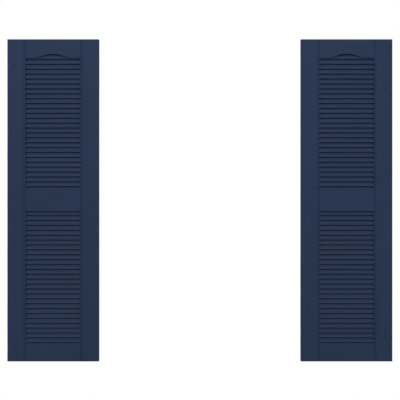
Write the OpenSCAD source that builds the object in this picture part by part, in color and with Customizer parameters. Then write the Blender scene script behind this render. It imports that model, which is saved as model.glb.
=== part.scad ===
// A pair of fixed louvred shutters, each moulded in one piece, with the screws that hold them to a wall.
// The wall is the plane Y = 0, the fronts face -Y, +Z is up, and the origin is midway between the shutters.

/* [Shutter] */
// Height of one shutter
shutter_h = 1320.8; // [900:0.1:2000]
// Width of one shutter
shutter_w = 374.65; // [320:0.05:460]
// Depth from the wall to the front of the stiles
shutter_d = 25.4; // [19:0.1:40]
// Clear distance between the two shutters
opening_w = 828.95; // [400:0.05:3000]
// Radius of the rounded outer front edges
edge_r = 3; // [1:0.1:6]

/* [Frame] */
// Width of each stile, to the middle of the groove along its inner edge
stile_w = 68.25; // [50:0.05:100]
// Width of the bead between that groove and the one in line with the louvres' ends, middle to middle
bead_w = 6.35; // [5.5:0.05:15]
// Height of the top rail, at its shoulders
top_rail_h = 76.2; // [60:0.1:120]
// Height of the middle rail
middle_rail_h = 89.5; // [40:0.1:160]
// Height of the bottom rail
bottom_rail_h = 76.2; // [40:0.1:160]
// Width of the V grooves
groove_w = 4.4; // [1:0.1:5]
// Depth of the V grooves
groove_d = 1.6; // [0.5:0.1:2]

/* [Arch] */
// Rise of the arch above the top rail's shoulders
arch_rise = 16.5; // [10:0.5:22]
// Distance from the middle to the foot of each flare
arch_reach = 80; // [75:0.5:95]
// Radius of the arch's crown
arch_crown_r = 110; // [80:0.5:120]

/* [Louvres] */
// Distance from one louvre's lip to the next
louvre_pitch = 20.07; // [16:0.01:40]
// How far the louvres' faces slope back from their lips
louvre_depth = 7.5; // [6:0.1:16]
// How far the lips stand back from the front of the stiles
lip_recess = 2; // [0.5:0.1:3]
// Radius of each lip's rounded nose
lip_r = 1.2; // [0.6:0.1:1.6]
// Gap between the lower field's lowest lip and the bottom rail
lowest_lip_gap = 1.8; // [1:0.1:8]
// Gap between the upper field's highest lip and the shoulders of the top rail
highest_lip_gap = 4.7; // [1:0.1:8]
// How far the underside of a louvre falls towards the back
underside_fall = 0.6; // [0.2:0.1:1.5]

/* [Moulding] */
// Thickness of the moulded walls
wall_t = 2.5; // [2:0.1:3.5]
// Thickness of the underside of each louvre
web_t = 2; // [1.5:0.1:2.5]
// Thickness of the stiffening ribs on the back
rib_t = 2; // [1.2:0.1:3]
// Number of cross ribs in a stile between two neighbouring screws
stile_ribs = 5; // [1:1:9]
// Number of upright ribs behind a rail or a louvre field
field_ribs = 2; // [0:1:5]

/* [Screws] */
// Distance from the end of a shutter to its outer screws
screw_end = 101.6; // [30:0.1:300]
// Diameter over the thread
screw_d = 4.8; // [3.5:0.1:6]
// Diameter of the plain neck under the head
neck_d = 3.4; // [2.4:0.1:3.5]
// Length of the plain neck
neck_l = 4; // [3.5:0.1:8]
// Length under the head
screw_l = 76.2; // [50:0.1:100]
// Diameter of the head
head_d = 9.4; // [8:0.1:14]
// Height of the domed head
head_h = 1.5; // [1.2:0.1:4]
// Length of the point
tip_l = 6; // [3:0.5:10]
// Clearance around the thread in its hole
hole_clearance = 0.3; // [0.1:0.05:0.6]

/* [Hidden] */
$fn = 64;
over = 1;
merge = 0.01;

finish = "#2a3750";

shutter_x = (opening_w + shutter_w) / 2;
front_y = -shutter_d;
skin_y = front_y + wall_t;
half_w = shutter_w / 2;
half_h = shutter_h / 2;

field_w = shutter_w - 2 * (stile_w + bead_w);
field_h = (shutter_h - top_rail_h - middle_rail_h - bottom_rail_h) / 2;
lower_field_z = -half_h + bottom_rail_h;
upper_field_z = half_h - top_rail_h - field_h;

arch_crown_z = arch_rise - arch_crown_r;
arch_flare_r = (pow(arch_reach, 2) + pow(arch_rise, 2)) / (2 * arch_rise) - arch_crown_r;

larger_gap = max(lowest_lip_gap, highest_lip_gap);
louvre_count = floor((field_h - larger_gap - underside_fall) / louvre_pitch) + 1;
louvre_run = (louvre_count - 1) * louvre_pitch;
lip_y = front_y + lip_recess;
notch_y = lip_y + louvre_depth;
face_angle = atan2(louvre_depth, louvre_pitch - underside_fall);
sheet_shift_z = web_t;
sheet_shift_y = wall_t / cos(face_angle) + web_t * tan(face_angle);

stile_x = half_w - stile_w / 2;
groove_x = half_w - stile_w;
hole_d = screw_d + 2 * hole_clearance;
screw_z = half_h - screw_end;
screw_heights = [-screw_z, 0, screw_z];

// Extrusions along each axis: the outline's own axes are XZ, YZ and XY
module along_y(y0, y1) {
    translate([0, y1, 0]) rotate([90, 0, 0]) linear_extrude(y1 - y0) children();
}

module along_x(x0, x1) {
    translate([x0, 0, 0]) rotate([90, 0, 90]) linear_extrude(x1 - x0) children();
}

module along_z(z0, z1) {
    translate([0, 0, z0]) linear_extrude(z1 - z0) children();
}

// Section of the outer block, its two front corners rounded: half its width, then its depth
module block_section(half) {
    translate([-half, front_y + edge_r]) square([2 * half, shutter_d - edge_r]);
    translate([edge_r - half, front_y]) square([2 * (half - edge_r), 2 * edge_r]);
    for (side = [-1, 1])
        translate([side * (half - edge_r), front_y + edge_r]) circle(edge_r);
}

module outer_block() {
    intersection() {
        along_z(-half_h, half_h) block_section(half_w);
        along_x(-half_w, half_w) mirror([1, -1]) block_section(half_h);
    }
}

// The arch over a shoulder line at height 0, grown by g: a round crown that runs out in two reverse
// flares. Each flare cuts the corner between the shoulder and the line that joins the two centres.
module arch_outline(g) {
    intersection() {
        translate([0, arch_crown_z]) circle(arch_crown_r + g + merge);
        translate([-arch_reach, -over]) square([2 * arch_reach, arch_rise + g + 2 * over]);
    }
    slope = arch_reach / (arch_flare_r - arch_crown_z);
    for (side = [0, 1])
        mirror([side, 0]) difference() {
            polygon([
                [arch_reach, -over],
                [arch_reach, arch_flare_r],
                [-slope * (arch_crown_z + over), -over]
            ]);
            translate([arch_reach, arch_flare_r - merge]) circle(arch_flare_r - g);
        }
}

// Opening of a louvre field, grown by g, its lower edge at height z
module field_outline(z, arched, g) {
    translate([-field_w / 2 - g, z - g]) square([field_w + 2 * g, field_h + 2 * g]);
    if (arched) translate([0, z + field_h]) arch_outline(g);
}

module both_fields(g) {
    field_outline(lower_field_z, false, g);
    field_outline(upper_field_z, true, g);
}

// Where a line from point p touches a circle of radius r about c, to its right (side 1) or left (side -1)
function touch_point(c, p, r, side) =
    let (v = p - c, turn = atan2(v.y, v.x) + side * acos(r / norm(v)))
    c + r * [cos(turn), sin(turn)];

// Points of one louvre, its lip at height z: under its nose, over its nose, and the notch above its face.
// Its flats touch a circle just inside the nose, so that they cross the nose's skin cleanly.
function notch_point(z) = [notch_y, z + louvre_pitch - underside_fall];
function nose_centre(z) = [lip_y + lip_r, z + lip_r];
function louvre_points(z) = [
    touch_point(nose_centre(z), notch_point(z - louvre_pitch), lip_r - merge, -1),
    touch_point(nose_centre(z), notch_point(z), lip_r - merge, 1),
    notch_point(z)
];

// Air in front of the louvres, from the lowest lip's height up; one more louvre runs down behind the rail
module front_air(lip_z) {
    top_z = lip_z + louvre_run + louvre_pitch + arch_rise;
    difference() {
        polygon([
            [front_y - over, lip_z - louvre_pitch],
            for (i = [-1 : louvre_count - 1]) each louvre_points(lip_z + i * louvre_pitch),
            [notch_y, top_z],
            [front_y - over, top_z]
        ]);
        for (i = [-1 : louvre_count - 1])
            translate(nose_centre(lip_z + i * louvre_pitch)) circle(lip_r);
    }
}

// Air behind the louvres: the same teeth moved back and up by the thickness of the sheet
module back_air(lip_z) {
    top_z = lip_z + louvre_run + louvre_pitch + arch_rise + sheet_shift_z;
    translate([sheet_shift_y, sheet_shift_z]) polygon([
        [shutter_d, lip_z - louvre_pitch],
        for (i = [-1 : louvre_count - 1]) each [
            [lip_y, lip_z + i * louvre_pitch],
            notch_point(lip_z + i * louvre_pitch)
        ],
        [notch_y, top_z],
        [shutter_d, top_z]
    ]);
}

lower_lip_z = lower_field_z + lowest_lip_gap;
upper_lip_z = upper_field_z + field_h - highest_lip_gap - louvre_run;

module louvre_recess(z, lip_z, arched) {
    intersection() {
        along_y(front_y - over, 0) field_outline(z, arched, 0);
        along_x(-half_w, half_w) front_air(lip_z);
    }
}

module louvre_back(z, lip_z, arched) {
    intersection() {
        along_y(skin_y, over) difference() {
            field_outline(z, arched, 0);
            upright_ribs();
        }
        along_x(-half_w, half_w) back_air(lip_z);
    }
}

// Ribs on the back, in the outline's XZ axes
module upright_ribs() {
    for (i = [1 : 1 : field_ribs])
        translate([field_w * (i / (field_ribs + 1) - 0.5) - rib_t / 2, -half_h])
            square([rib_t, shutter_h]);
}

// The cross ribs keep half a bay away from every screw
module cross_ribs() {
    for (i = [-stile_ribs - 1 : stile_ribs])
        translate([-half_w, screw_z * (i + 0.5) / stile_ribs - rib_t / 2])
            square([shutter_w, rib_t]);
}

// Outline of the hollow behind each stile, from a distance x to the outer wall
module stile_outlines(x) {
    difference() {
        for (side = [0, 1])
            mirror([side, 0]) translate([x, wall_t - half_h])
                square([half_w - wall_t - x, shutter_h - 2 * wall_t]);
        cross_ribs();
    }
}

// Hollows behind the stiles and rails, shallower by a groove's depth behind the outer grooves and the beads.
// Those behind the rails keep clear of the inner grooves.
module frame_hollows() {
    along_y(skin_y + groove_d, over) stile_outlines(field_w / 2 + wall_t);
    along_y(skin_y, over) {
        stile_outlines(groove_x + groove_w / 2);
        difference() {
            translate([groove_w / 2 - field_w / 2, wall_t - half_h])
                square([field_w - groove_w, shutter_h - 2 * wall_t]);
            both_fields(wall_t);
            upright_ribs();
        }
    }
}

// Two grooves leave a bead between them on each side: the outer one edges the stile, and the inner one
// is in line with the sides of the louvre fields
module grooves() {
    for (side = [-1, 1], x = [groove_x, field_w / 2])
        along_z(-half_h - over, half_h + over) translate([side * x, front_y])
            polygon([[-groove_w / 2, 0], [groove_w / 2, 0], [0, groove_d]]);
}

module screw_holes() {
    for (side = [-1, 1], z = screw_heights)
        translate([side * stile_x, front_y - over, z]) rotate([-90, 0, 0])
            cylinder(d = hole_d, h = wall_t + 2 * over);
}

module shutter() {
    color(finish) difference() {
        outer_block();
        louvre_recess(lower_field_z, lower_lip_z, false);
        louvre_recess(upper_field_z, upper_lip_z, true);
        louvre_back(lower_field_z, lower_lip_z, false);
        louvre_back(upper_field_z, upper_lip_z, true);
        frame_hollows();
        grooves();
        screw_holes();
    }
}

// One screw pointing along +Z, its head's seat at height 0
module screw() {
    dome_r = (pow(head_d / 2, 2) + pow(head_h, 2)) / (2 * head_h);
    cylinder(d = neck_d, h = neck_l);
    translate([0, 0, neck_l]) cylinder(d = screw_d, h = screw_l - neck_l - tip_l);
    translate([0, 0, screw_l - tip_l]) cylinder(d1 = screw_d, d2 = screw_d / 8, h = tip_l);
    rotate_extrude() intersection() {
        translate([0, dome_r - head_h]) circle(dome_r);
        translate([0, -head_h]) square([head_d, head_h]);
    }
}

module screws() {
    color(finish) for (side = [-1, 1], z = screw_heights)
        translate([side * stile_x, front_y, z]) rotate([-90, 0, 0]) screw();
}

module left_shutter() { translate([-shutter_x, 0, 0]) shutter(); }
module right_shutter() { translate([shutter_x, 0, 0]) shutter(); }
module left_screws() { translate([-shutter_x, 0, 0]) screws(); }
module right_screws() { translate([shutter_x, 0, 0]) screws(); }

left_shutter();
right_shutter();
left_screws();
right_screws();
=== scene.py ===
"""Louvred shutters: a pair of one-piece moulded shutters with their screws, in place beside an opening."""

import math

import bmesh
import bpy
from bpy.props import FloatProperty, FloatVectorProperty, PointerProperty
from mathutils import Matrix, Vector


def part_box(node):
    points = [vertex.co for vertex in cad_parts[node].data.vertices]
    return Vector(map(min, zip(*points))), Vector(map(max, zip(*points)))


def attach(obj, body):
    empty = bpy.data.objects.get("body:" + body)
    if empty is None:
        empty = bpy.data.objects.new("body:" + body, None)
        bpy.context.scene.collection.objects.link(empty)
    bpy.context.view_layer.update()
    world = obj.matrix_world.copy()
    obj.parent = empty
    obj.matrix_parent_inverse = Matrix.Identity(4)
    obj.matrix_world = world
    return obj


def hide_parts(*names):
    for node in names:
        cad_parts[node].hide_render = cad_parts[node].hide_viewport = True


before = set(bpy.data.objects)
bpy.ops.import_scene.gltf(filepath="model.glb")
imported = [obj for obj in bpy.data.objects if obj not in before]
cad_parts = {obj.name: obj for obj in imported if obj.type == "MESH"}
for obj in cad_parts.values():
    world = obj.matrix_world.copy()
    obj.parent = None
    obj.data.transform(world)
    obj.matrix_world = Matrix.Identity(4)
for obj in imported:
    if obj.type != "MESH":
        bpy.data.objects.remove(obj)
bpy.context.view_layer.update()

bl_info = {
    "name": "Louvred Shutters",
    "version": (1, 0, 0),
    "blender": (4, 5, 0),
    "location": "View3D > Sidebar > Shutters",
    "description": "Builds a pair of moulded louvred shutters around their packed model",
    "category": "Add Mesh",
}

MM = 0.001
BODY = "root"
SIDES = ("left", "right")

# Limits for cleaning and shading meshes
WELD = 0.002 * MM
THREAD_WELD = 0.02 * MM
FLAT = math.radians(0.3)
CREASE = math.radians(35)

# Axes that a grain runs along
LEVEL = 0
UPRIGHT = 2

# Each piece's finishes, in the order of its material slots
UPRIGHT_GRAIN, LEVEL_GRAIN, PLAIN = range(3)
PAINT, ZINC = range(2)


# ---------------------------------------------------------------- settings


class ShutterSettings(bpy.types.PropertyGroup):
    """Sizes and finish of the moulded shutters."""

    stile_width: FloatProperty(
        name="Stile Width",
        description="Width of each upright stile, with the bead along it",
        default=74.6 * MM,
        unit="LENGTH",
    )
    arris: FloatProperty(
        name="Arris",
        description="Width of the small round on each moulded edge",
        default=0.4 * MM,
        unit="LENGTH",
    )
    colour: FloatVectorProperty(
        name="Colour",
        description="Colour that the plastic is moulded in",
        default=(0.0142, 0.0310, 0.0758),
        subtype="COLOR",
        size=3,
    )
    roughness: FloatProperty(
        name="Roughness",
        description="Middle roughness of the moulded front",
        default=0.6,
        min=0,
        max=1,
        subtype="FACTOR",
    )
    specular: FloatProperty(
        name="Specular Level",
        description="How strongly the plastic and the paint mirror their surroundings",
        default=0.2,
        min=0,
        max=1,
        subtype="FACTOR",
    )
    grain_width: FloatProperty(
        name="Grain Width",
        description="Distance between the strands of the embossed wood grain",
        default=3.2 * MM,
        unit="LENGTH",
    )
    grain_stretch: FloatProperty(
        name="Grain Stretch",
        description="Length of a strand of grain over its width",
        default=22,
        min=1,
    )
    grain_height: FloatProperty(
        name="Grain Height",
        description="Height of the embossed wood grain",
        default=0.4 * MM,
        unit="LENGTH",
    )
    streak_width: FloatProperty(
        name="Streak Width",
        description="Width of the long soft streaks that run with the grain",
        default=7 * MM,
        unit="LENGTH",
    )
    streak_stretch: FloatProperty(
        name="Streak Stretch",
        description="Length of a streak over its width",
        default=90,
        min=1,
    )


class ScrewSettings(bpy.types.PropertyGroup):
    """Sizes and finish of the screws."""

    head_diameter: FloatProperty(
        name="Head Diameter",
        description="Across the domed head",
        default=9.4 * MM,
        unit="LENGTH",
    )
    head_height: FloatProperty(
        name="Head Height",
        description="From the seat to the top of the dome",
        default=1.5 * MM,
        unit="LENGTH",
    )
    rim_height: FloatProperty(
        name="Rim Height",
        description="Upright rim under the dome",
        default=0.35 * MM,
        unit="LENGTH",
    )
    recess_width: FloatProperty(
        name="Recess Width",
        description="Width of each arm of the cross recess",
        default=1.1 * MM,
        unit="LENGTH",
    )
    recess_reach: FloatProperty(
        name="Recess Reach",
        description="From the middle of the cross recess to an arm's end",
        default=2.4 * MM,
        unit="LENGTH",
    )
    recess_depth: FloatProperty(
        name="Recess Depth",
        description="Depth of the cross recess",
        default=1.3 * MM,
        unit="LENGTH",
    )
    neck_diameter: FloatProperty(
        name="Neck Diameter",
        description="Plain neck under the head",
        default=3.4 * MM,
        unit="LENGTH",
    )
    neck_length: FloatProperty(
        name="Neck Length",
        description="Length of the plain neck",
        default=4 * MM,
        unit="LENGTH",
    )
    thread_diameter: FloatProperty(
        name="Thread Diameter",
        description="Over the crest of the thread",
        default=4.8 * MM,
        unit="LENGTH",
    )
    thread_pitch: FloatProperty(
        name="Thread Pitch",
        description="Advance of the thread in one turn",
        default=2.5 * MM,
        unit="LENGTH",
    )
    root_diameter: FloatProperty(
        name="Root Diameter",
        description="Across the bottom of the thread",
        default=3.1 * MM,
        unit="LENGTH",
    )
    point_length: FloatProperty(
        name="Point Length",
        description="Length of the tapered point",
        default=6 * MM,
        unit="LENGTH",
    )
    shank_colour: FloatVectorProperty(
        name="Shank Colour",
        description="Colour of the plated shanks",
        default=(0.62, 0.62, 0.60),
        subtype="COLOR",
        size=3,
    )


class StageSettings(bpy.types.PropertyGroup):
    """Camera, lights and floor."""

    camera_distance: FloatProperty(
        name="Camera Distance",
        description="From the camera to the shutters' fronts",
        default=3.5,
        unit="LENGTH",
    )
    camera_side: FloatProperty(
        name="Camera Side",
        description="From the middle of the pair to the camera's line of sight, to the right",
        default=0.6 * MM,
        unit="LENGTH",
    )
    camera_rise: FloatProperty(
        name="Camera Rise",
        description="From the middle of the pair to the camera's line of sight, upwards",
        default=1.5 * MM,
        unit="LENGTH",
    )
    view_width: FloatProperty(
        name="View Width",
        description="Width that the camera sees at the shutters' fronts",
        default=1.6385,
        unit="LENGTH",
    )
    ambient: FloatProperty(
        name="Ambient",
        description="Strength of the light from all round",
        default=0.51,
        min=0,
    )
    sun_elevation: FloatProperty(
        name="Sun Elevation",
        description="Height of the broad far light above the horizon",
        default=math.radians(35),
        subtype="ANGLE",
    )
    sun_azimuth: FloatProperty(
        name="Sun Azimuth",
        description="Turn of the broad far light to the left of the camera",
        default=math.radians(8),
        subtype="ANGLE",
    )
    sun_spread: FloatProperty(
        name="Sun Spread",
        description="Angle that the broad far light comes from",
        default=math.radians(30),
        subtype="ANGLE",
    )
    sun_strength: FloatProperty(
        name="Sun Strength",
        description="Strength of the broad far light",
        default=0.38,
        min=0,
    )
    softbox_size: FloatProperty(
        name="Softbox Size",
        description="Side of each square softbox",
        default=1.5,
        unit="LENGTH",
    )
    top_power: FloatProperty(
        name="Top Light",
        description="Power of the softbox overhead",
        default=15,
        subtype="POWER",
    )
    side_power: FloatProperty(
        name="Side Lights",
        description="Power of each softbox at the side",
        default=6.5,
        subtype="POWER",
    )
    floor_size: FloatProperty(
        name="Floor Size",
        description="Side of the square floor",
        default=4,
        unit="LENGTH",
    )
    floor_drop: FloatProperty(
        name="Floor Drop",
        description="From the shutters' lower edge down to the floor",
        default=0.35,
        unit="LENGTH",
    )
    floor_colour: FloatVectorProperty(
        name="Floor Colour",
        description="Colour of the floor",
        default=(0.8, 0.8, 0.79),
        subtype="COLOR",
        size=3,
    )


# ---------------------------------------------------------------- mesh helpers


def boundary(made):
    """The edges of a bmesh that have a face on one side only."""
    return [e for e in made.edges if len(e.link_faces) == 1]


def corners(elements):
    """The vertices of some edges or faces, each once, in the order that they come."""
    return list(dict.fromkeys(v for element in elements for v in element.verts))


def only(kind, elements):
    """The elements of one kind, such as bmesh.types.BMVert, among what an operator made."""
    return [element for element in elements if isinstance(element, kind)]


def shade(made):
    """Smooth shading, apart from the edges that turn by more than a crease."""
    for face in made.faces:
        face.smooth = True
    for edge in made.edges:
        edge.smooth = len(edge.link_faces) < 2 or edge.calc_face_angle() < CREASE


def finished(made, name, materials):
    """A new object in the scene that holds a bmesh, its place in its mesh. Its large faces look flat."""
    shade(made)
    mesh = bpy.data.meshes.new(name)
    made.to_mesh(mesh)
    made.free()
    for material in materials:
        mesh.materials.append(material)
    piece = bpy.data.objects.new(name, mesh)
    bpy.context.scene.collection.objects.link(piece)
    piece.modifiers.new("steady shading", "WEIGHTED_NORMAL").keep_sharp = True
    return piece


# ---------------------------------------------------------------- node helpers

# Where most of a noise's factor lies
NOISE_LOW = 0.3
NOISE_HIGH = 0.7


def node_material(name):
    """A new material with an empty node tree: (material, its nodes, a function that links two sockets)."""
    material = bpy.data.materials.new(name)
    material.use_nodes = True
    tree = material.node_tree
    tree.nodes.clear()
    return material, tree.nodes, tree.links.new


def principled(nodes, link):
    """A principled shader, joined to the material's output."""
    shader = nodes.new("ShaderNodeBsdfPrincipled")
    output = nodes.new("ShaderNodeOutputMaterial")
    link(shader.outputs["BSDF"], output.inputs["Surface"])
    return shader


def coordinates(nodes, link, along=UPRIGHT, stretch=1):
    """Object coordinates squeezed along one axis, so that a pattern read from them runs that way."""
    place = nodes.new("ShaderNodeTexCoord")
    mapping = nodes.new("ShaderNodeMapping")
    scale = [1.0, 1.0, 1.0]
    scale[along] = 1 / stretch
    mapping.inputs["Scale"].default_value = scale
    link(place.outputs["Object"], mapping.inputs["Vector"])
    return mapping.outputs["Vector"]


def noise(nodes, link, vector, scale, detail, roughness=0.5, distortion=0.0):
    """A noise texture's factor, its scale in repeats a metre."""
    texture = nodes.new("ShaderNodeTexNoise")
    texture.inputs["Scale"].default_value = scale
    texture.inputs["Detail"].default_value = detail
    texture.inputs["Roughness"].default_value = roughness
    texture.inputs["Distortion"].default_value = distortion
    link(vector, texture.inputs["Vector"])
    return texture.outputs["Fac"]


def ramp(nodes, link, factor, low, high, start=NOISE_LOW, end=NOISE_HIGH):
    """A factor remapped from start..end to low..high."""
    change = nodes.new("ShaderNodeMapRange")
    change.inputs["From Min"].default_value = start
    change.inputs["From Max"].default_value = end
    change.inputs["To Min"].default_value = low
    change.inputs["To Max"].default_value = high
    link(factor, change.inputs["Value"])
    return change.outputs["Result"]


def product(nodes, link, first, second):
    """Two factors multiplied."""
    multiply = nodes.new("ShaderNodeMath")
    multiply.operation = "MULTIPLY"
    link(first, multiply.inputs[0])
    link(second, multiply.inputs[1])
    return multiply.outputs["Value"]


def mixed(nodes, link, first, second, share):
    """Two factors mixed, the share being how much the second one counts."""
    mix = nodes.new("ShaderNodeMix")
    mix.inputs["Factor"].default_value = share
    link(first, mix.inputs["A"])
    link(second, mix.inputs["B"])
    return mix.outputs["Result"]


def tinted(nodes, link, colour, value):
    """A colour whose brightness follows a factor around 1."""
    tint = nodes.new("ShaderNodeHueSaturation")
    tint.inputs["Color"].default_value = (*colour, 1)
    link(value, tint.inputs["Value"])
    return tint.outputs["Color"]


def bumped(nodes, link, height, distance):
    """A surface normal that follows a height of 0 to 1 over a distance."""
    bump = nodes.new("ShaderNodeBump")
    bump.inputs["Distance"].default_value = distance
    link(height, bump.inputs["Height"])
    return bump.outputs["Normal"]


# ---------------------------------------------------------------- materials

# The embossed grain: its broad figure and its pores, counted over one strand's width, and its clouds
FIGURES_PER_STRAND = 0.22
FIGURE_SHARE = 0.35
PORES_PER_STRAND = 2.6
PORE_STRETCH = 12
PORE_SHARE = 0.16
CLOUD_STRETCH = 3
CLOUDS_PER_METRE = 7

# The plain side, the paint and the zinc
FLOW_STRETCH = 2
FLOW_MARKS_PER_METRE = 9
FINE_PITS_PER_METRE = 900
FINE_PIT_DEPTH = 0.02 * MM
ORANGE_PEEL_PER_METRE = 1800
ORANGE_PEEL_DEPTH = 0.01 * MM
ZINC_CLOUDS_PER_METRE = 350

# Each finish's smoothest and roughest, from the middle roughness of the moulded front
GRAIN_ROUGHNESS = (-0.06, 0.06)
PLAIN_ROUGHNESS = (-0.16, -0.04)
PAINT_ROUGHNESS = (-0.12, -0.06)


def matt(nodes, link, settings, value, texture, roughness, normal):
    """The shutters' colour as plastic or paint: its brightness follows a value, its roughness a texture."""
    smoothest, roughest = (settings.roughness + shift for shift in roughness)
    shader = principled(nodes, link)
    shader.inputs["Specular IOR Level"].default_value = settings.specular
    link(tinted(nodes, link, settings.colour, value), shader.inputs["Base Color"])
    link(ramp(nodes, link, texture, smoothest, roughest), shader.inputs["Roughness"])
    link(normal, shader.inputs["Normal"])


def moulded_plastic(name, settings, along):
    """Matt plastic with an embossed wood grain that runs along an axis."""
    material, nodes, link = node_material(name)
    strand_scale = 1 / settings.grain_width
    grain = coordinates(nodes, link, along, settings.grain_stretch)
    strands = noise(nodes, link, grain, strand_scale, detail=5, roughness=0.6, distortion=0.9)
    figure = noise(nodes, link, grain, FIGURES_PER_STRAND * strand_scale, detail=3, distortion=1.8)
    short_run = coordinates(nodes, link, along, PORE_STRETCH)
    pores = noise(nodes, link, short_run, PORES_PER_STRAND * strand_scale, detail=1)
    long_run = coordinates(nodes, link, along, settings.streak_stretch)
    streaks = noise(nodes, link, long_run, 1 / settings.streak_width, detail=2)
    broad_run = coordinates(nodes, link, along, CLOUD_STRETCH)
    clouds = noise(nodes, link, broad_run, CLOUDS_PER_METRE, detail=3)

    pits = ramp(nodes, link, pores, low=0, high=1, start=0.34, end=0.44)
    waves = mixed(nodes, link, strands, figure, FIGURE_SHARE)
    relief = mixed(nodes, link, waves, pits, PORE_SHARE)
    strand_tone = ramp(nodes, link, strands, low=0.91, high=1.09)
    pit_tone = ramp(nodes, link, pits, low=0.9, high=1.01, start=0, end=1)
    cloud_tone = ramp(nodes, link, clouds, low=0.96, high=1.04)
    streak_tone = ramp(nodes, link, streaks, low=0.955, high=1.045)
    fine_tone = product(nodes, link, strand_tone, pit_tone)
    broad_tone = product(nodes, link, cloud_tone, streak_tone)
    value = product(nodes, link, fine_tone, broad_tone)
    normal = bumped(nodes, link, relief, settings.grain_height)
    matt(nodes, link, settings, value, strands, GRAIN_ROUGHNESS, normal)
    return material


def plain_plastic(name, settings):
    """The same plastic off the plain half of the mould, with faint flow marks."""
    material, nodes, link = node_material(name)
    place = coordinates(nodes, link, UPRIGHT, FLOW_STRETCH)
    flow = noise(nodes, link, place, FLOW_MARKS_PER_METRE, detail=4, distortion=1.5)
    fine = noise(nodes, link, place, FINE_PITS_PER_METRE, detail=2)

    value = ramp(nodes, link, flow, low=0.94, high=1.06)
    normal = bumped(nodes, link, fine, FINE_PIT_DEPTH)
    matt(nodes, link, settings, value, flow, PLAIN_ROUGHNESS, normal)
    return material


def painted_steel(name, settings):
    """The screw heads' matt paint, matched to the plastic."""
    material, nodes, link = node_material(name)
    orange_peel = noise(nodes, link, coordinates(nodes, link), ORANGE_PEEL_PER_METRE, detail=2)

    value = ramp(nodes, link, orange_peel, low=0.97, high=1.03)
    normal = bumped(nodes, link, orange_peel, ORANGE_PEEL_DEPTH)
    matt(nodes, link, settings, value, orange_peel, PAINT_ROUGHNESS, normal)
    return material


def zinc_plate(name, colour):
    """Bright zinc on the screws' shanks, a little cloudy."""
    material, nodes, link = node_material(name)
    clouds = noise(nodes, link, coordinates(nodes, link), ZINC_CLOUDS_PER_METRE, detail=3)

    shader = principled(nodes, link)
    shader.inputs["Metallic"].default_value = 1
    value = ramp(nodes, link, clouds, low=0.85, high=1.1)
    link(tinted(nodes, link, colour, value), shader.inputs["Base Color"])
    link(ramp(nodes, link, clouds, low=0.28, high=0.45), shader.inputs["Roughness"])
    return material


# ---------------------------------------------------------------- shutters

# How far a face leans forwards, as its normal's part along Y, to count as part of the front
FRONT_LEAN = 0.05


def softened(node, settings):
    """A CAD node's mesh as a closed bmesh of whole faces, with every moulded edge slightly round."""
    made = bmesh.new()
    made.from_mesh(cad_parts[node].data)
    bmesh.ops.remove_doubles(made, verts=made.verts, dist=WELD)
    bmesh.ops.dissolve_limit(made, angle_limit=FLAT, verts=made.verts, edges=made.edges)
    bmesh.ops.bevel(
        made,
        geom=[e for e in made.edges if e.calc_face_angle() > CREASE],
        affect="EDGES",
        offset=settings.arris,
        segments=2,
        profile=0.5,
        clamp_overlap=True,
        material=-1,
    )
    return made


def lay_grain(made, settings, low, high):
    """Upright grain on the stiles' fronts, level grain on the fronts between them, and plain elsewhere."""
    middle = (low.x + high.x) / 2
    reach = (high.x - low.x) / 2 - settings.stile_width
    for face in made.faces:
        if face.normal.y >= -FRONT_LEAN:
            face.material_index = PLAIN
        elif abs(face.calc_center_median().x - middle) > reach:
            face.material_index = UPRIGHT_GRAIN
        else:
            face.material_index = LEVEL_GRAIN


class SHUTTERS_OT_mouldings(bpy.types.Operator):
    """Make the two moulded shutters"""

    bl_idname = "shutters.mouldings"
    bl_label = "Make Shutters"
    bl_options = {"REGISTER", "UNDO"}

    def execute(self, context):
        settings = context.scene.shutter_settings
        finishes = [
            moulded_plastic("blue plastic, upright grain", settings, UPRIGHT),
            moulded_plastic("blue plastic, level grain", settings, LEVEL),
            plain_plastic("blue plastic, plain", settings),
        ]
        for side in SIDES:
            node = f"{side}_shutter"
            made = softened(node, settings)
            lay_grain(made, settings, *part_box(node))
            piece = finished(made, f"{side}_shutter_moulding", finishes)
            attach(piece, BODY)
            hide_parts(node)
        return {"FINISHED"}


# ---------------------------------------------------------------- screws

# The head: cells across the grid that is bent into a disc, where its outer ring of cells starts over
# the head's radius, and how wide the recess is at its floor over its top
HEAD_CELLS = 7
OUTER_RING = 0.76
RECESS_TAPER = 0.5

# The thread: one turn as (0 on the root or 1 on the crest, share of the pitch), the share at which its
# ridge begins, the steps in a turn, and the gap between the neck and the first turn
RIDGE_START = 0.5
THREAD_PROFILE = ((0, 0), (0, RIDGE_START), (1, 0.72), (1, 0.78), (0, 1))
THREAD_STEPS = 14
THREAD_START = 0.6 * MM

# Each screw is turned this much further than the one before, so that no two recesses stand alike
SCREW_TURN = math.radians(137.5)


def pull_rim(made, edges, scale, drop):
    """Carries an open rim towards the Z axis and down, with new faces behind it, and gives its new edges."""
    extruded = bmesh.ops.extrude_edge_only(made, edges=edges)["geom"]
    rim = [e for e in only(bmesh.types.BMEdge, extruded) if len(e.link_faces) == 1]
    bmesh.ops.scale(made, verts=corners(rim), vec=(scale, scale, 1))
    bmesh.ops.translate(made, verts=corners(rim), vec=(0, 0, -drop))
    return rim


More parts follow.
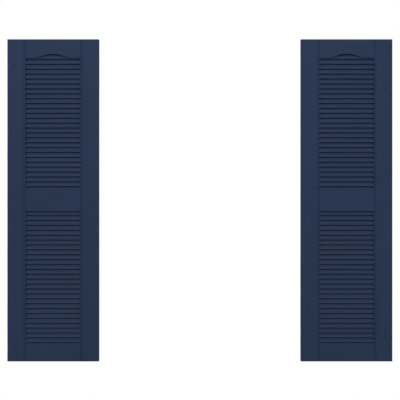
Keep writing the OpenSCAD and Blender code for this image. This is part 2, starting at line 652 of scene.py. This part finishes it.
def domed_disc(settings):
    """The top of a screw's head: a grid bent into a disc, with lines of edges round the cross recess."""
    radius = settings.head_diameter / 2
    dome_height = settings.head_height - settings.rim_height
    lines = (settings.recess_width / 2, settings.recess_reach, OUTER_RING * radius, radius)
    made = bmesh.new()
    bmesh.ops.create_grid(made, x_segments=HEAD_CELLS, y_segments=HEAD_CELLS, size=HEAD_CELLS / 2)
    for vertex in made.verts:
        u, v = (math.copysign(lines[int(abs(c))] / radius, c) for c in vertex.co.xy)
        x = u * math.sqrt(1 - v * v / 2)
        y = v * math.sqrt(1 - u * u / 2)
        height = settings.rim_height + dome_height * (1 - x * x - y * y)
        vertex.co = (radius * x, radius * y, height)
    return made


def sink_recess(made, settings):
    """Sinks the cross in the middle of a screw's head, narrower at its floor."""
    cross = []
    for face in made.faces:
        near, far = sorted(abs(c) for c in face.calc_center_median().xy)
        if near < settings.recess_width / 2 and far < settings.recess_reach:
            cross.append(face)
    bmesh.ops.inset_region(made, faces=cross, thickness=0, depth=-settings.recess_depth)
    floor = corners(cross)
    bmesh.ops.scale(made, verts=floor, vec=(RECESS_TAPER, RECESS_TAPER, 1))
    for vertex in floor:
        vertex.co.z = settings.head_height - settings.recess_depth


def screw_head(settings):
    """A screw's head and neck on the Z axis, its seat at height 0: (bmesh, the neck's open rim)."""
    made = domed_disc(settings)
    rim = boundary(made)
    sink_recess(made, settings)
    rim = pull_rim(made, rim, 1, settings.rim_height)
    rim = pull_rim(made, rim, settings.neck_diameter / settings.head_diameter, 0)
    rim = pull_rim(made, rim, 1, settings.neck_length)
    return made, rim


def cut_thread(made, neck_rim, settings, length):
    """Turns a thread below an open neck, down to a point at the screw's length under its seat."""
    radii = (settings.root_diameter / 2, settings.thread_diameter / 2)
    pitch = settings.thread_pitch
    start = settings.neck_length + THREAD_START
    steps = round((length - start - pitch) / pitch * THREAD_STEPS)
    chain = [made.verts.new((radii[crest], 0, -start - pitch * share)) for crest, share in THREAD_PROFILE]
    edges = [made.edges.new(pair) for pair in zip(chain, chain[1:])]
    bmesh.ops.spin(
        made,
        geom=chain + edges,
        axis=(0, 0, 1),
        dvec=(0, 0, -pitch / THREAD_STEPS),
        angle=math.tau * steps / THREAD_STEPS,
        steps=steps,
        use_merge=False,
    )
    turned = [v for v in made.verts if v.co.z < WELD - start]
    bmesh.ops.remove_doubles(made, verts=turned, dist=THREAD_WELD)

    # A face closes the blunt start of the ridge, where the turning began. The open top then joins the neck.
    middle = -length / 2
    ridge_top = THREAD_WELD - start - pitch * RIDGE_START
    blunt = [
        v
        for v in corners(boundary(made))
        if v.co.x > 0 and abs(v.co.y) < WELD and middle < v.co.z < ridge_top
    ]
    bmesh.ops.contextual_create(made, geom=blunt)
    top = [e for e in boundary(made) if e.verts[0].co.z > middle and e not in neck_rim]
    bmesh.ops.bridge_loops(made, edges=neck_rim + top)

    for vertex in made.verts:
        left = length + vertex.co.z
        if left < settings.point_length:
            taper = max(left / settings.point_length, 0)
            vertex.co.x *= taper
            vertex.co.y *= taper
    bmesh.ops.pointmerge(made, verts=corners(boundary(made)), merge_co=(0, 0, -length))


def screw_places(low, high, seat, reach):
    """The seats of a shutter's screws: at the corners of their box and half-way up its sides."""
    columns = (low.x + reach, high.x - reach)
    rows = (low.z + reach, (low.z + high.z) / 2, high.z - reach)
    return [Vector((x, seat, z)) for x in columns for z in rows]


def set_out(made, places):
    """Replaces the one screw in a bmesh by a copy at each place, each turned its own way."""
    first = list(made.verts)
    geometry = first + list(made.edges) + list(made.faces)
    for count, place in enumerate(places, start=1):
        copied = bmesh.ops.duplicate(made, geom=geometry)["geom"]
        verts = only(bmesh.types.BMVert, copied)
        turn = Matrix.Rotation(SCREW_TURN * count, 3, "Y")
        bmesh.ops.rotate(made, verts=verts, cent=(0, 0, 0), matrix=turn)
        bmesh.ops.translate(made, verts=verts, vec=place)
    bmesh.ops.delete(made, geom=first, context="VERTS")


class SHUTTERS_OT_screws(bpy.types.Operator):
    """Make the twelve wall screws"""

    bl_idname = "shutters.screws"
    bl_label = "Make Screws"
    bl_options = {"REGISTER", "UNDO"}

    def execute(self, context):
        settings = context.scene.screw_settings
        finishes = [
            painted_steel("blue painted steel", context.scene.shutter_settings),
            zinc_plate("zinc-plated steel", settings.shank_colour),
        ]
        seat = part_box("left_shutter")[0].y
        facing = Matrix.Rotation(math.pi / 2, 3, "X")
        for side in SIDES:
            node = f"{side}_screws"
            low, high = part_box(node)
            made, rim = screw_head(settings)
            cut_thread(made, rim, settings, high.y - seat)
            for face in made.faces:
                face.material_index = PAINT if face.calc_center_median().z > -WELD else ZINC
            bmesh.ops.rotate(made, verts=made.verts, cent=(0, 0, 0), matrix=facing)
            set_out(made, screw_places(low, high, seat, settings.head_diameter / 2))
            bmesh.ops.recalc_face_normals(made, faces=made.faces)
            piece = finished(made, f"{side}_screw_set", finishes)
            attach(piece, BODY)
            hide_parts(node)
        return {"FINISHED"}


# ---------------------------------------------------------------- stage

# The camera's sensor in millimetres, the places of the softboxes, and the middle of the floor along Y
SENSOR_WIDTH = 36
TOP_SOFTBOX = (0, -1.6, 1.8)
LEFT_SOFTBOX = (-2.2, -1.6, 0.3)
RIGHT_SOFTBOX = (2.2, -1.6, 0.3)
FLOOR_MIDDLE = -1.4
FLOOR_ROUGHNESS = 0.8


def add_camera(settings, front):
    """The scene's camera, level and square to the shutters, whose fronts are at a place along Y."""
    data = bpy.data.cameras.new("camera")
    data.sensor_width = SENSOR_WIDTH
    data.lens = SENSOR_WIDTH * settings.camera_distance / settings.view_width
    camera = bpy.data.objects.new("camera", data)
    bpy.context.scene.collection.objects.link(camera)
    camera.location = (settings.camera_side, front - settings.camera_distance, settings.camera_rise)
    camera.rotation_euler = (math.pi / 2, 0, 0)
    bpy.context.scene.camera = camera


def add_softbox(name, place, size, power):
    """A square area light at a place, aimed at the middle of the shutters."""
    data = bpy.data.lights.new(name, "AREA")
    data.energy = power
    data.size = size
    light = bpy.data.objects.new(name, data)
    bpy.context.scene.collection.objects.link(light)
    light.location = place
    light.rotation_euler = (-Vector(place)).to_track_quat("-Z", "Y").to_euler()


def add_sun(settings):
    """A broad far light from above the camera, turned to its left by the azimuth."""
    data = bpy.data.lights.new("broad light", "SUN")
    data.energy = settings.sun_strength
    data.angle = settings.sun_spread
    light = bpy.data.objects.new("broad light", data)
    bpy.context.scene.collection.objects.link(light)
    level = math.cos(settings.sun_elevation)
    aside = -math.sin(settings.sun_azimuth) * level
    ahead = -math.cos(settings.sun_azimuth) * level
    towards = Vector((aside, ahead, math.sin(settings.sun_elevation)))
    light.rotation_euler = towards.to_track_quat("Z", "Y").to_euler()


def light_world(ambient):
    """A white surround for the camera to see, and a dimmer one that lights the shutters."""
    world = bpy.data.worlds.new("surround")
    bpy.context.scene.world = world
    world.use_nodes = True
    nodes = world.node_tree.nodes
    link = world.node_tree.links.new
    nodes.clear()
    path = nodes.new("ShaderNodeLightPath")
    seen = nodes.new("ShaderNodeBackground")
    seen.inputs["Color"].default_value = (1, 1, 1, 1)
    given = nodes.new("ShaderNodeBackground")
    given.inputs["Color"].default_value = (1, 1, 1, 1)
    given.inputs["Strength"].default_value = ambient
    mix = nodes.new("ShaderNodeMixShader")
    output = nodes.new("ShaderNodeOutputWorld")
    link(path.outputs["Is Camera Ray"], mix.inputs["Fac"])
    link(given.outputs["Background"], mix.inputs[1])
    link(seen.outputs["Background"], mix.inputs[2])
    link(mix.outputs["Shader"], output.inputs["Surface"])


def floor_paint(name, colour):
    """Plain pale paint for the floor."""
    material, nodes, link = node_material(name)
    shader = principled(nodes, link)
    shader.inputs["Base Color"].default_value = (*colour, 1)
    shader.inputs["Roughness"].default_value = FLOOR_ROUGHNESS
    return material


def add_floor(settings, foot):
    """A square floor in front of and below the shutters, whose lower edges are at a height."""
    made = bmesh.new()
    bmesh.ops.create_grid(made, x_segments=1, y_segments=1, size=settings.floor_size / 2)
    bmesh.ops.translate(made, verts=made.verts, vec=(0, FLOOR_MIDDLE, foot - settings.floor_drop))
    finished(made, "floor", [floor_paint("pale floor", settings.floor_colour)])


class SHUTTERS_OT_stage(bpy.types.Operator):
    """Make the camera, the lights and the floor"""

    bl_idname = "shutters.stage"
    bl_label = "Make Stage"
    bl_options = {"REGISTER", "UNDO"}

    def execute(self, context):
        settings = context.scene.stage_settings
        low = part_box("left_shutter")[0]
        add_camera(settings, low.y)
        add_sun(settings)
        add_softbox("top softbox", TOP_SOFTBOX, settings.softbox_size, settings.top_power)
        add_softbox("left softbox", LEFT_SOFTBOX, settings.softbox_size, settings.side_power)
        add_softbox("right softbox", RIGHT_SOFTBOX, settings.softbox_size, settings.side_power)
        light_world(settings.ambient)
        add_floor(settings, low.z)
        context.scene.view_settings.view_transform = "Standard"
        return {"FINISHED"}


# ---------------------------------------------------------------- add-on


class SHUTTERS_PT_panel(bpy.types.Panel):
    """Lists the settings, each group above the operator that makes its pieces."""

    bl_idname = "SHUTTERS_PT_panel"
    bl_label = "Louvred Shutters"
    bl_space_type = "VIEW_3D"
    bl_region_type = "UI"
    bl_category = "Shutters"

    def draw(self, context):
        scene = context.scene
        for settings, operator in (
            (scene.stage_settings, SHUTTERS_OT_stage),
            (scene.shutter_settings, SHUTTERS_OT_mouldings),
            (scene.screw_settings, SHUTTERS_OT_screws),
        ):
            box = self.layout.box()
            for name in type(settings).__annotations__:
                box.prop(settings, name)
            box.operator(operator.bl_idname)


CLASSES = (
    ShutterSettings,
    ScrewSettings,
    StageSettings,
    SHUTTERS_OT_mouldings,
    SHUTTERS_OT_screws,
    SHUTTERS_OT_stage,
    SHUTTERS_PT_panel,
)


def register():
    """Adds the classes, and the settings to every scene."""
    for cls in CLASSES:
        bpy.utils.register_class(cls)
    bpy.types.Scene.shutter_settings = PointerProperty(type=ShutterSettings)
    bpy.types.Scene.screw_settings = PointerProperty(type=ScrewSettings)
    bpy.types.Scene.stage_settings = PointerProperty(type=StageSettings)


def unregister():
    """Takes away what register adds."""
    del bpy.types.Scene.stage_settings
    del bpy.types.Scene.screw_settings
    del bpy.types.Scene.shutter_settings
    for cls in reversed(CLASSES):
        bpy.utils.unregister_class(cls)


def main():
    """Makes everything in order."""
    register()
    bpy.ops.shutters.stage()
    bpy.ops.shutters.mouldings()
    bpy.ops.shutters.screws()


if __name__ == "__main__":
    main()
